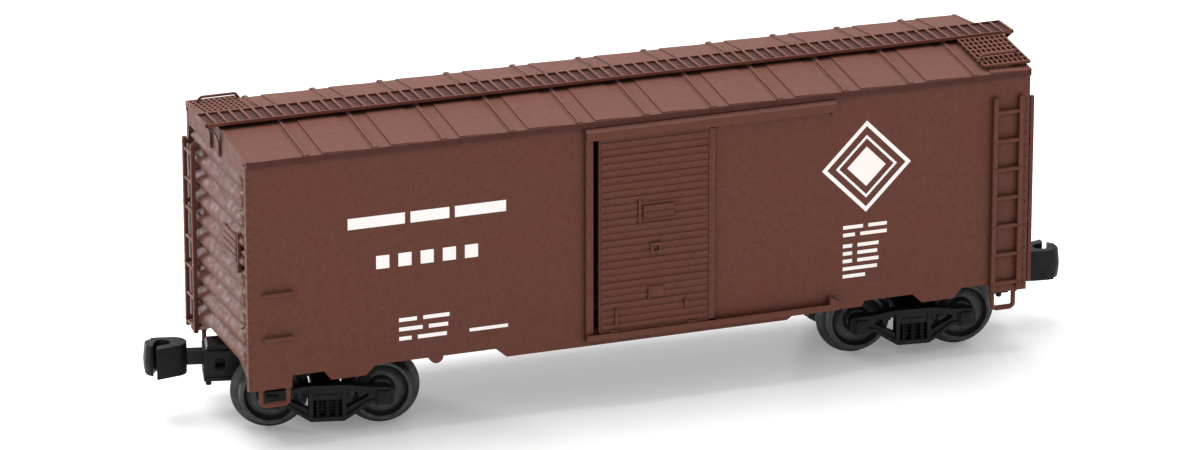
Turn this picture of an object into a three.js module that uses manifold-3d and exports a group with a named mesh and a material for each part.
// A 1:220 scale model of a forty-foot steel box car, as an assembly of its separate pieces.
// Millimetres. +X runs along the car, +Z is up, Z = 0 is the bottom of the wheel flanges and
// X = Y = 0 is the middle of the car. Heights written here start at BASE_LINE above Z = 0.
// "Near" is the -Y side, "left" is the -X end. The far side and the right end repeat the near
// side and the left end, turned half a turn about Z.

import * as THREE from 'three';
import { mergeVertices } from 'three/addons/utils/BufferGeometryUtils.js';
import Module from 'manifold-3d';

const wasm = await Module();
wasm.setup();

// ---------------------------------------------------------------- driving dimensions
const BASE_LINE = 0.21;
const GLUE = 0.03;               // gap between pieces that are glued or clipped together
const RUNNING = 0.05;            // gap between pieces that move on each other

const BODY_LENGTH = 57.6;
const BODY_WIDTH = 13.12;
const EAVE_OVERHANG = 0.15;
const WALL = 0.65;
const SILL_LOW = 4.42;
const SILL_CORNER = 4.27;
const SILL_HIGH = 5.1;
const EAVE_Z = 20.37;
const ROOF_EDGE_Z = 20.78;
const ROOF_PEAK_Z = 21.5;
const HALF = BODY_LENGTH / 2;
const SIDE = BODY_WIDTH / 2;
const EAVE = SIDE + EAVE_OVERHANG;

const ROOF_SLOPE = (ROOF_PEAK_Z - ROOF_EDGE_Z) / EAVE;
const ROOF_BAY = 4.909;          // pitch of the seam caps
const RIBS_EACH_WAY = 5;
const RIB_WIDTH = 0.3;
const RIB_HEIGHT = 0.12;

const END_RECESS = 0.3;          // the end sheet lies this far inside the corner posts
const END_RECESS_HALF_WIDTH = 6.05;
const END_RECESS_TOP = 19.5;
const END_RIDGES = 10;
const END_RIDGE_FIRST_Z = 6.13;
const END_RIDGE_PITCH = 1.415;

const DOOR_LEFT = -3.55;
const DOOR_RIGHT = 5.0;
const DOOR_BOTTOM = 5.15;
const DOOR_TOP = 19.6;
const DOOR_INNER_Y = SIDE + 0.06;
const DOOR_OUTER_Y = SIDE + 0.3;
const DOOR_RIBS = 22;
const DOORWAY_LEFT = -3.94;
const DOORWAY_RIGHT = 4.75;
const DOORWAY_BOTTOM = 5.35;
const DOORWAY_TOP = 19.35;

const FLOOR_BOTTOM = 5.55;
const FLOOR_TOP = 6.1;

const BOARD_HALF_LENGTH = 29.85;
const BOARD_HALF_WIDTH = 1.25;
const BOARD_TOP = 21.9;
const BOARD_BOTTOM = ROOF_PEAK_Z + RIB_HEIGHT + GLUE;

const TRUCK_X = 21.45;           // truck pivots lie this far each side of the middle
const LEFT_TRUCK_TURN = -14;     // degrees about +Z from straight
const RIGHT_TRUCK_TURN = -7;
const WHEELBASE = 7.62;
const FLANGE_RADIUS = 2.73;
const TREAD_RADIUS = 2.15;
const AXLE_Z = FLANGE_RADIUS - BASE_LINE;
const WHEEL_OUTER = 4.2;         // outer face of a wheel from the truck's centreline
const WHEEL_WIDTH = 1.5;
const AXLE_RADIUS = 0.45;
const JOURNAL_RADIUS = 0.3;
const AXLE_HALF_LENGTH = 4.95;
const FRAME_INNER = 4.45;        // side frame plates
const FRAME_OUTER = 5.3;

const COUPLER_PIVOT = 5.9;       // from the truck pivot, outward
const HEAD_Z = [3.05, 5.3];
const SHANK_Z = [3.56, 4.54];

// ---------------------------------------------------------------- materials
function material(color, roughness, metalness = 0) {
  return new THREE.MeshStandardMaterial({ color, roughness, metalness });
}
const paint = material(0x673e36, 0.6);
const roofPaint = material(0x7a5248, 0.6);
const blackPlastic = material(0x1c1e1e, 0.5);
const wheelMetal = material(0x3a3836, 0.35, 0.8);
const steel = material(0x8a8a88, 0.4, 0.9);

// ---------------------------------------------------------------- solid helpers
function solid(geometry) {
  const bare = geometry.clone();
  bare.deleteAttribute('normal');
  bare.deleteAttribute('uv');
  const merged = mergeVertices(bare, 1e-5);
  return new wasm.Manifold(new wasm.Mesh({
    numProp: 3,
    vertProperties: merged.attributes.position.array,
    triVerts: new Uint32Array(merged.index.array),
  }));
}

function geometryOf(body) {
  const mesh = body.getMesh();
  const geometry = new THREE.BufferGeometry();
  geometry.setAttribute('position', new THREE.BufferAttribute(mesh.vertProperties, 3));
  geometry.setIndex(new THREE.BufferAttribute(mesh.triVerts, 1));
  geometry.computeVertexNormals();
  return geometry;
}

function join(...geometries) {
  return geometryOf(geometries.map(solid).reduce((a, b) => a.add(b)));
}

function cut(geometry, ...tools) {
  return geometryOf(tools.map(solid).reduce((a, b) => a.subtract(b), solid(geometry)));
}

function box([x0, x1], [y0, y1], [z0, z1]) {
  const geometry = new THREE.BoxGeometry(x1 - x0, y1 - y0, z1 - z0);
  return geometry.translate((x0 + x1) / 2, (y0 + y1) / 2, (z0 + z1) / 2);
}

function extrude(points, depth) {
  const shape = new THREE.Shape(points.map(([a, b]) => new THREE.Vector2(a, b)));
  return new THREE.ExtrudeGeometry(shape, { depth, bevelEnabled: false });
}

// An outline in (x, y), as thick as the span in z.
function flatPrism(points, [z0, z1]) {
  return extrude(points, z1 - z0).translate(0, 0, z0);
}

// An outline in (x, z), as thick as the span in y.
function sidePrism(points, [y0, y1]) {
  return extrude(points, y1 - y0).rotateX(Math.PI / 2).translate(0, y1, 0);
}

// An outline in (y, z), as thick as the span in x.
function endPrism(points, [x0, x1]) {
  const turn = new THREE.Matrix4().makeBasis(
    new THREE.Vector3(0, 1, 0), new THREE.Vector3(0, 0, 1), new THREE.Vector3(1, 0, 0));
  return extrude(points, x1 - x0).applyMatrix4(turn).translate(x0, 0, 0);
}

function upright(radius, [z0, z1], x = 0, y = 0, sides = 16) {
  const geometry = new THREE.CylinderGeometry(radius, radius, z1 - z0, sides);
  return geometry.rotateX(Math.PI / 2).translate(x, y, (z0 + z1) / 2);
}

function alongX(radius, [x0, x1], y, z, sides = 12) {
  const geometry = new THREE.CylinderGeometry(radius, radius, x1 - x0, sides);
  return geometry.rotateZ(Math.PI / 2).translate((x0 + x1) / 2, y, z);
}

function alongY(radius, [y0, y1], x, z, sides = 12) {
  const geometry = new THREE.CylinderGeometry(radius, radius, y1 - y0, sides);
  return geometry.translate(x, (y0 + y1) / 2, z);
}

function halfTurn(geometry) {
  return geometry.clone().rotateZ(Math.PI);
}

function mirrored(points) {
  return [...points, ...points.map(([a, b]) => [-a, b]).reverse()];
}

function ellipse(centre, radii, from, to, steps) {
  return Array.from({ length: steps + 1 }, (_, i) => {
    const angle = from + (to - from) * i / steps;
    return [centre[0] + radii[0] * Math.cos(angle), centre[1] + radii[1] * Math.sin(angle)];
  });
}

// ---------------------------------------------------------------- car body
// Lower edge of the near side sheet from left to right, with cut-outs over the wheels.
const SILL_LINE = [
  [-HALF - 1, SILL_CORNER], [-25.7, SILL_CORNER], [-25.7, SILL_HIGH], [-23.4, SILL_HIGH],
  [-22.9, SILL_LOW], [-20.4, SILL_LOW], [-19.7, SILL_HIGH],
  ...ellipse([-15.3, SILL_HIGH], [0.5, 0.48], Math.PI, Math.PI * 2, 6), [-11.0, SILL_HIGH],
  [-10.2, SILL_LOW], [10.6, SILL_LOW], [11.0, 4.7], [16.2, 4.7], [16.45, SILL_HIGH],
  [20.1, SILL_HIGH], [20.8, SILL_LOW], [23.2, SILL_LOW], [23.85, SILL_HIGH],
  [26.13, SILL_HIGH], [26.13, SILL_LOW], [HALF + 1, SILL_LOW],
];

// A band over the roof from eave to eave, sunk into it by drop and standing up by height.
function roofBand(halfWidth, drop, height, x) {
  const edge = ROOF_PEAK_Z - halfWidth * ROOF_SLOPE;
  return endPrism([
    [halfWidth, edge - drop], [halfWidth, edge + height], [0, ROOF_PEAK_Z + height],
    [-halfWidth, edge + height], [-halfWidth, edge - drop], [0, ROOF_PEAK_Z - drop],
  ], x);
}

function endRidges() {
  const crest = HALF - 0.02;
  const root = HALF - END_RECESS - 0.1;
  return Array.from({ length: END_RIDGES }, (_, i) => {
    const z = END_RIDGE_FIRST_Z + i * END_RIDGE_PITCH;
    const profile = [[root, z - 0.52], [crest, z - 0.16], [crest, z + 0.16], [root, z + 0.52]];
    return sidePrism(profile, [-5.6, 5.6]);
  });
}

function bodyShell() {
  const outside = endPrism(mirrored([
    [SIDE, SILL_CORNER], [SIDE, EAVE_Z], [EAVE, EAVE_Z], [EAVE, ROOF_EDGE_Z], [0.001, ROOF_PEAK_Z],
  ]), [-HALF, HALF]);

  const inner = SIDE - WALL;
  const inside = endPrism(mirrored([
    [inner, SILL_LOW - 1], [inner, EAVE_Z - 0.3], [0.001, ROOF_PEAK_Z - 0.7],
  ]), [-HALF + END_RECESS + WALL, HALF - END_RECESS - WALL]);

  const sill = sidePrism([...SILL_LINE, [HALF + 1, 3], [-HALF - 1, 3]], [-SIDE - 1, -2]);
  const endCutout = mirrored([[6.2, 3], [6.2, 4.3], [2.2, 6.0]]);
  const doorway = box([DOORWAY_LEFT, DOORWAY_RIGHT], [-SIDE - 1, -SIDE + 1],
    [DOORWAY_BOTTOM, DOORWAY_TOP]);
  const recess = box([HALF - END_RECESS, HALF + 1],
    [-END_RECESS_HALF_WIDTH, END_RECESS_HALF_WIDTH], [SILL_LOW - 1, END_RECESS_TOP]);
  const underEnd = endPrism(endCutout, [HALF - 1.5, HALF + 1]);

  const ribs = [];
  for (let i = -RIBS_EACH_WAY; i <= RIBS_EACH_WAY; i += 1) {
    const x = i * ROOF_BAY;
    ribs.push(roofBand(EAVE + 0.1, 0.25, RIB_HEIGHT, [x - RIB_WIDTH / 2, x + RIB_WIDTH / 2]));
  }
  const panels = [];
  for (let bay = -RIBS_EACH_WAY; bay < RIBS_EACH_WAY; bay += 1) {
    const x = bay * ROOF_BAY;
    panels.push(roofBand(EAVE - 0.6, 0.1, 0.07, [x + 0.24 * ROOF_BAY, x + 0.8 * ROOF_BAY]));
  }

  const doorPost = box([-4.48, DOORWAY_LEFT], [-SIDE - 0.3, -SIDE + 0.1], [5.12, 19.6]);
  const tackBoard = box([HALF - 0.4, HALF + 0.08], [1.6, 4.5], [12.95, 15.25]);
  const ridges = endRidges();

  let shell = cut(outside, inside, recess, halfTurn(recess));
  shell = join(shell, ...ridges, ...ridges.map(halfTurn), tackBoard, halfTurn(tackBoard),
    doorPost, halfTurn(doorPost), ...ribs, ...panels);
  return cut(shell, sill, halfTurn(sill), doorway, halfTurn(doorway), underEnd,
    halfTurn(underEnd));
}

function underframe() {
  const floor = box([-27.7, 27.7], [-5.8, 5.8], [FLOOR_BOTTOM, FLOOR_TOP]);
  const centreSill = box([-17.5, 17.5], [-0.8, 0.8], [4.7, FLOOR_BOTTOM + 0.1]);
  const sideSills = [-1, 1].map((s) =>
    box([-27, 27], [s * 5.5 - 0.25, s * 5.5 + 0.25], [4.85, FLOOR_BOTTOM + 0.1]));
  const crossBearers = [-11, -5.2, 5.2, 11].map((x) =>
    box([x - 0.3, x + 0.3], [-5.2, 5.2], [5.0, FLOOR_BOTTOM + 0.1]));
  const bolsters = [-TRUCK_X, TRUCK_X].flatMap((x) => [
    box([x - 0.9, x + 0.9], [-5.3, 5.3], [5.1, FLOOR_BOTTOM + 0.1]),
    upright(1.35, [4.3, FLOOR_BOTTOM + 0.1], x),
  ]);
  const sockets = [-TRUCK_X, TRUCK_X].map((x) => upright(0.55, [4, FLOOR_TOP - 0.3], x));
  const members = [centreSill, ...sideSills, ...crossBearers, ...bolsters];
  return cut(join(floor, ...members), ...sockets);
}

function ballastWeight() {
  return flatPrism(mirrored([[19, -4.6], [19, 4.6], [18.6, 5.0]]).concat(
    mirrored([[18.6, -5.0]]).reverse()), [FLOOR_TOP + GLUE, FLOOR_TOP + 1.2]);
}

// ---------------------------------------------------------------- roof walkways
function runningBoard() {
  const z = [BOARD_BOTTOM, BOARD_TOP];
  const plank = box([-BOARD_HALF_LENGTH, BOARD_HALF_LENGTH],
    [-BOARD_HALF_WIDTH, BOARD_HALF_WIDTH], z);
  const strap = (y) => sidePrism([
    [HALF + 0.04, 19.45], [HALF + 0.16, 19.45], [HALF + 0.2, 20.7],
    [BOARD_HALF_LENGTH - 0.2, 21.5], [BOARD_HALF_LENGTH - 0.2, 21.7], [HALF + 0.3, 21.7],
    [HALF + 0.04, 20.9],
  ], [y - 0.22, y + 0.22]);
  const straps = [-0.95, 0.95].map(strap);
  return join(plank, ...straps, ...straps.map(halfTurn));
}

// The lateral walkway of the right end, on the near side; the left end's is turned half a turn.
const LATERAL_X = [25.45, 29.0];
const LATERAL_Y = [-6.1, -BOARD_HALF_WIDTH - 0.06];
function lateralHeight(y) {
  return ROOF_PEAK_Z + ROOF_SLOPE * y + RIB_HEIGHT + GLUE;
}
function lateralBoard() {
  const [y0, y1] = LATERAL_Y;
  return endPrism([
    [y0, lateralHeight(y0)], [y1, lateralHeight(y1)],
    [y1, lateralHeight(y1) + 0.2], [y0, lateralHeight(y0) + 0.2],
  ], LATERAL_X);
}
function lateralGrab() {
  const y = [-5.25, -5.07];
  const foot = lateralHeight(-5.07) + 0.2 + GLUE;
  const top = foot + 0.5;
  const legs = [25.75, 28.2].map((x) => box([x - 0.09, x + 0.09], y, [foot, top]));
  return join(box([25.66, 28.29], y, [top - 0.18, top]), ...legs);
}

// ---------------------------------------------------------------- ladders, steps and irons
const RUNG_LEVELS = [5.2, 7.32, 9.42, 11.53, 13.62, 15.73, 17.85];

// The near side's ladder at the right end.
function sideLadder() {
  const y = [-SIDE - 0.42, -SIDE - GLUE];
  const stiles = [26.1, 28.05].map((x) => box([x - 0.15, x + 0.15], y, [4.75, 18.95]));
  const rungs = RUNG_LEVELS.map((z) =>
    box([26.1, 28.05], [-SIDE - 0.4, -SIDE - 0.14], [z - 0.13, z + 0.13]));
  return join(...stiles, ...rungs);
}

// The right end's ladder, on the near side, held off the sheet by three pairs of brackets.
function endLadder() {
  const x = [HALF + 0.15, HALF + 0.45];
  const stiles = [-6.2, -4.4].map((y) => box(x, [y - 0.15, y + 0.15], [4.85, 18.65]));
  const rungs = RUNG_LEVELS.map((z) => box([HALF + 0.2, HALF + 0.4], [-6.2, -4.4],
    [z - 0.1, z + 0.1]));
  const brackets = [6.2, 12.6, 18.2].map((z) =>
    box([HALF + GLUE, HALF + 0.3], [-6.32, -6.15], [z - 0.12, z + 0.12]));
  return join(...stiles, ...rungs, ...brackets);
}

function stirrupStep(x0, x1, bottom, top) {
  const rod = 0.17;
  const y = [-6.42, -6.42 + 2 * rod];
  const legs = [x0, x1].map((x) => box([x - rod, x + rod], y, [bottom, top - GLUE]));
  return join(box([x0 - rod, x1 + rod], y, [bottom, bottom + 2 * rod]), ...legs);
}

function sideGrab(z) {
  const bar = box([-27.75, -25.6], [-SIDE - 0.42, -SIDE - 0.18], [z - 0.12, z + 0.12]);
  const feet = [-27.63, -25.72].map((x) =>
    box([x - 0.11, x + 0.11], [-SIDE - 0.4, -SIDE - GLUE], [z - 0.12, z + 0.12]));
  return join(bar, ...feet);
}

// ---------------------------------------------------------------- doors and their tracks
const TRACK_WALL_Y = -SIDE - GLUE;
const TRACK_FACE_Y = -SIDE - 0.56;
const LIP_Y = [TRACK_FACE_Y, TRACK_FACE_Y + 0.1];

// A rail over the door, with the lip that holds the door in and a stop at its right end.
function upperTrack() {
  const [face, back] = LIP_Y;
  const rail = endPrism([
    [TRACK_WALL_Y, 20.3], [face, 20.1], [face, 19.45], [back, 19.45],
    [back, DOOR_TOP + RUNNING], [TRACK_WALL_Y, DOOR_TOP + RUNNING],
  ], [-4.5, 14.0]);
  return join(rail, box([13.7, 13.95], [face + 0.02, TRACK_WALL_Y - 0.02], [19.3, 19.8]));
}

function lowerTrack() {
  const [face, back] = LIP_Y;
  const rail = endPrism([
    [TRACK_WALL_Y, 4.85], [face, 4.85], [face, 5.35], [back, 5.35],
    [back, DOOR_BOTTOM - RUNNING], [TRACK_WALL_Y, DOOR_BOTTOM - RUNNING],
  ], [-4.5, 14.3]);
  const stop = sidePrism([[13.6, 5.0], [14.25, 5.0], [14.25, 5.45], [13.6, 5.8]],
    [face + 0.02, TRACK_WALL_Y - 0.02]);
  return join(rail, stop);
}

function door() {
  const sheet = box([DOOR_LEFT, DOOR_RIGHT], [-DOOR_OUTER_Y, -DOOR_INNER_Y],
    [DOOR_BOTTOM, DOOR_TOP]);
  const first = DOOR_BOTTOM + 0.75;
  const pitch = (DOOR_TOP - 0.65 - first) / (DOOR_RIBS - 1);
  const ribs = Array.from({ length: DOOR_RIBS }, (_, i) => {
    const z = first + i * pitch;
    return box([DOOR_LEFT + 0.35, DOOR_RIGHT - 0.55], [-DOOR_OUTER_Y - 0.07, -DOOR_OUTER_Y + 0.05],
      [z - 0.13, z + 0.13]);
  });
  const latch = box([0.2, 1.05], [-DOOR_OUTER_Y - 0.14, -DOOR_OUTER_Y + 0.05], [10.75, 11.55]);
  const tackBoard = box([-0.3, 1.95], [-DOOR_OUTER_Y - 0.12, -DOOR_OUTER_Y + 0.05],
    [13.25, 14.35]);
  return join(sheet, ...ribs, latch, tackBoard);
}

// ---------------------------------------------------------------- brake gear
function brakeWheel() {
  const rim = [[1.1, 0], [1.27, 0], [1.27, 0.2], [1.1, 0.2]];
  const ring = new THREE.LatheGeometry([...rim, rim[0]].map(([r, a]) => new THREE.Vector2(r, a)),
    20).rotateZ(-Math.PI / 2);
  const hub = alongX(0.3, [0, 0.25], 0, 0, 10);
  const spokes = [0, 1, 2, 3, 4].map((i) =>
    box([0.04, 0.16], [-0.07, 0.07], [0.1, 1.18]).rotateX(i * Math.PI * 2 / 5));
  return join(ring, hub, ...spokes);
}

function controlValve() {
  return join(box([-0.6, 0.6], [-0.5, 0.5], [4.5, 5.52]), alongX(0.35, [-0.9, 0.9], 0, 4.75, 10));
}

// ---------------------------------------------------------------- truck, outward end along +X
function sideFrame() {
  const outline = mirrored([
    [1.1, 0.8], [1.9, 1.3], [2.8, 1.95], [3.3, 1.8], [4.3, 1.8], [4.6, 2.0], [4.6, 3.05],
    [4.2, 3.2], [2.8, 3.25], [1.6, 3.45],
  ]);
  const frame = sidePrism(outline, [FRAME_INNER, FRAME_OUTER]);
  const windows = [-1, 1].map((s) => sidePrism([
    [s * 1.25, 1.6], [s * 2.75, 2.5], [s * 2.75, 2.85], [s * 1.25, 2.95]],
  [FRAME_INNER - 1, FRAME_OUTER + 1]));
  const springPocket = box([-1.0, 1.0], [FRAME_OUTER - 0.3, FRAME_OUTER + 1], [1.1, 2.45]);
  const springs = [-0.65, 0, 0.65].map((x) => upright(0.27, [1.0, 2.55], x, FRAME_OUTER - 0.3, 10));
  const journals = [-1, 1].map((s) => box([s * WHEELBASE / 2 - 0.42, s * WHEELBASE / 2 + 0.42],
    [FRAME_OUTER - 0.1, FRAME_OUTER + 0.12], [1.95, 2.95]));
  return join(cut(frame, ...windows, springPocket), ...springs, ...journals);
}

const BOX_HALF_WIDTH = 1.15;
const BOX_BACK = 4.9;
const BOX_FRONT = 8.2;
const BOX_TOP = 4.75;
const POCKET_TOP = 4.6;
const LID_TOP = 2.84;

function truckFrame() {
  const side = sideFrame();
  const bolster = box([-1.0, 1.0], [-FRAME_INNER - 0.1, FRAME_INNER + 0.1], [2.65, 3.4]);
  const centrePlate = upright(1.2, [3.2, 4.25]);
  const tongue = box([0.8, BOX_BACK + 0.3], [-0.95, 0.95], [3.12, 4.2]);
  const couplerBox = box([BOX_BACK, BOX_FRONT], [-BOX_HALF_WIDTH, BOX_HALF_WIDTH],
    [LID_TOP + GLUE, BOX_TOP]);
  const pocket = box([BOX_BACK + 0.35, BOX_FRONT + 1], [-0.85, 0.85], [LID_TOP - 1, POCKET_TOP]);
  const clipHoles = box([6.7, 7.4], [-2, 2], [3.4, 4.2]);
  const bearings = [-1, 1].map((s) =>
    alongY(JOURNAL_RADIUS + 0.06, [-AXLE_HALF_LENGTH - 0.06, AXLE_HALF_LENGTH + 0.06],
      s * WHEELBASE / 2, AXLE_Z));
  const frame = join(side, halfTurn(side), bolster, centrePlate, tongue, couplerBox);
  return cut(frame, pocket, clipHoles, upright(0.6, [2, 5]), ...bearings);
}

function couplerLid() {
  const plate = box([BOX_BACK + 0.35, BOX_FRONT], [-BOX_HALF_WIDTH, BOX_HALF_WIDTH],
    [LID_TOP - 0.3, LID_TOP]);
  return join(plate, upright(0.21, [1.9, LID_TOP - 0.1], BOX_FRONT - 0.37, 0, 10));
}

function truckPin() {
  return join(upright(1.0, [2.3, 2.58], 0, 0, 16), upright(0.5, [2.4, 5.7], 0, 0, 16));
}

function axle() {
  const half = [[0.45, 4.3], [JOURNAL_RADIUS, 4.3], [JOURNAL_RADIUS, 4.6], [0, AXLE_HALF_LENGTH]];
  const profile = [...half.map(([r, a]) => [r, -a]).reverse(), ...half];
  return new THREE.LatheGeometry(profile.map(([r, a]) => new THREE.Vector2(r, a)), 10);
}

// The flange is at the low end of the profile; the outer face is at WHEEL_WIDTH.
function wheel() {
  const bore = AXLE_RADIUS + 0.02;
  const profile = [
    [bore, 0.1], [2.5, 0], [FLANGE_RADIUS, 0.16], [FLANGE_RADIUS, 0.34],
    [TREAD_RADIUS + 0.04, 0.62], [TREAD_RADIUS - 0.04, WHEEL_WIDTH], [1.85, WHEEL_WIDTH],
    [1.65, 1.05], [0.9, 0.95], [0.78, 1.35], [bore, 1.35], [bore, 0.1],
  ];
  return new THREE.LatheGeometry(profile.map(([r, a]) => new THREE.Vector2(r, a)), 18);
}

// The head's outline in (x, y): a drum, a guard arm flared to +Y and a knuckle hooked round from
// -Y, which leave a throat between them and a slot at its mouth.
function couplerHead() {
  const drum = ellipse([10.25, 0.3], [0.95, 0.95], Math.PI * 0.66, Math.PI * 1.5, 8);
  const throat = ellipse([11.05, 0.4], [0.62, 0.52], -Math.PI * 0.1, -Math.PI * 1.5, 8);
  return flatPrism([
    [11.45, 1.85], ...drum, [11.85, -0.6], [12.15, -0.3], [12.3, 0.15], [12.3, 0.6],
    [12.15, 0.98], [11.9, 1.2], [11.64, 1.18], ...throat, [11.4, 1.25],
  ], HEAD_Z);
}

function coupler() {
  const shank = box([COUPLER_PIVOT, 9.6], [-0.45, 0.45], SHANK_Z);
  const eye = upright(0.6, SHANK_Z, COUPLER_PIVOT);
  return cut(join(shank, eye, couplerHead()), upright(0.35, [2, 6], COUPLER_PIVOT, 0, 12));
}

function couplerPin() {
  return upright(0.3, [LID_TOP + GLUE, POCKET_TOP - GLUE], COUPLER_PIVOT, 0, 10);
}

// A flat-wound centring spring round the coupler's pin, under its eye.
function couplerSpring() {
  const turns = 2;
  const steps = 20;
  const points = Array.from({ length: steps + 1 }, (_, i) => {
    const angle = Math.PI * 2 * turns * i / steps;
    return new THREE.Vector3(COUPLER_PIVOT + 0.52 * Math.cos(angle), 0.52 * Math.sin(angle),
      LID_TOP + 0.08 + 0.55 * i / steps);
  });
  const wire = new THREE.Shape(ellipse([0, 0], [0.035, 0.035], 0, Math.PI * 2, 5).slice(1)
    .map(([a, b]) => new THREE.Vector2(a, b)));
  return new THREE.ExtrudeGeometry(wire, {
    steps, bevelEnabled: false, extrudePath: new THREE.CatmullRomCurve3(points),
  });
}

// ---------------------------------------------------------------- assembly
const boxCar = new THREE.Group();
const car = new THREE.Group();
car.position.z = BASE_LINE;
boxCar.add(car);

function add(parent, name, geometry, finish, place = {}) {
  const mesh = new THREE.Mesh(geometry, finish.clone());
  mesh.name = name;
  mesh.position.set(place.x ?? 0, place.y ?? 0, place.z ?? 0);
  mesh.rotation.set(place.turnX ?? 0, 0, place.turnZ ?? 0);
  parent.add(mesh);
}

// The same piece twice, the second turned half a turn about the car's middle.
function addPair(names, geometry, finish) {
  add(car, names[0], geometry, finish);
  add(car, names[1], geometry, finish, { turnZ: Math.PI });
}

add(car, 'body_shell', bodyShell(), paint);
add(car, 'underframe', underframe(), blackPlastic);
add(car, 'ballast_weight', ballastWeight(), steel);
add(car, 'running_board', runningBoard(), roofPaint);
addPair(['lateral_board_right', 'lateral_board_left'], lateralBoard(), roofPaint);
addPair(['lateral_grab_right', 'lateral_grab_left'], lateralGrab(), paint);
addPair(['side_ladder_near', 'side_ladder_far'], sideLadder(), paint);
addPair(['end_ladder_right', 'end_ladder_left'], endLadder(), paint);
addPair(['stirrup_near_left', 'stirrup_far_right'], stirrupStep(-27.83, -25.9, 2.92, SILL_CORNER), paint);
addPair(['stirrup_near_right', 'stirrup_far_left'], stirrupStep(26.33, 27.95, 3.0, SILL_LOW), paint);
addPair(['side_grab_near_upper', 'side_grab_far_upper'], sideGrab(11.15), paint);
addPair(['side_grab_near_lower', 'side_grab_far_lower'], sideGrab(7.95), paint);
addPair(['upper_track_near', 'upper_track_far'], upperTrack(), paint);
addPair(['lower_track_near', 'lower_track_far'], lowerTrack(), paint);
addPair(['door_near', 'door_far'], door(), paint);

const BRAKE_Y = -1.7;
const BRAKE_Z = 16.3;
add(car, 'brake_housing', box([HALF + GLUE, HALF + 0.4], [BRAKE_Y - 0.7, BRAKE_Y + 0.7],
  [BRAKE_Z - 0.9, BRAKE_Z + 0.8]), paint);
add(car, 'brake_wheel', brakeWheel(), paint,
  { x: HALF + 0.4 + GLUE, y: BRAKE_Y, z: BRAKE_Z });
add(car, 'brake_platform', box([HALF + GLUE, HALF + 0.95], [BRAKE_Y - 1.4, BRAKE_Y + 1.4],
  [13.1, 13.3]), paint);
add(car, 'air_reservoir', alongX(0.85, [-0.2, 3.6], -2.9, 4.62), blackPlastic);
add(car, 'brake_cylinder', alongX(0.7, [-4.2, -1.2], 2.6, 4.8), blackPlastic);
add(car, 'control_valve', controlValve(), blackPlastic, { x: 2.2, y: 2.9 });

function addTruck(end, outward, turnDegrees) {
  const truck = new THREE.Group();
  truck.position.x = outward * TRUCK_X;
  truck.rotation.z = THREE.MathUtils.degToRad(turnDegrees) + (outward < 0 ? Math.PI : 0);
  add(truck, `truck_frame_${end}`, truckFrame(), blackPlastic);
  add(truck, `coupler_lid_${end}`, couplerLid(), blackPlastic);
  add(truck, `coupler_${end}`, coupler(), blackPlastic);
  add(truck, `coupler_pin_${end}`, couplerPin(), blackPlastic);
  add(truck, `coupler_spring_${end}`, couplerSpring(), steel);
  for (const [place, x] of [['outer', WHEELBASE / 2], ['inner', -WHEELBASE / 2]]) {
    const at = { x, z: AXLE_Z };
    add(truck, `axle_${end}_${place}`, axle(), steel, at);
    const inset = WHEEL_OUTER - WHEEL_WIDTH;
    add(truck, `wheel_${end}_${place}_a`, wheel(), wheelMetal, { ...at, y: inset });
    add(truck, `wheel_${end}_${place}_b`, wheel(), wheelMetal,
      { ...at, y: -inset, turnZ: Math.PI });
  }
  car.add(truck);
  add(car, `truck_pin_${end}`, truckPin(), blackPlastic, { x: outward * TRUCK_X });
}
addTruck('left', -1, LEFT_TRUCK_TURN);
addTruck('right', 1, RIGHT_TRUCK_TURN);

export default boxCar;
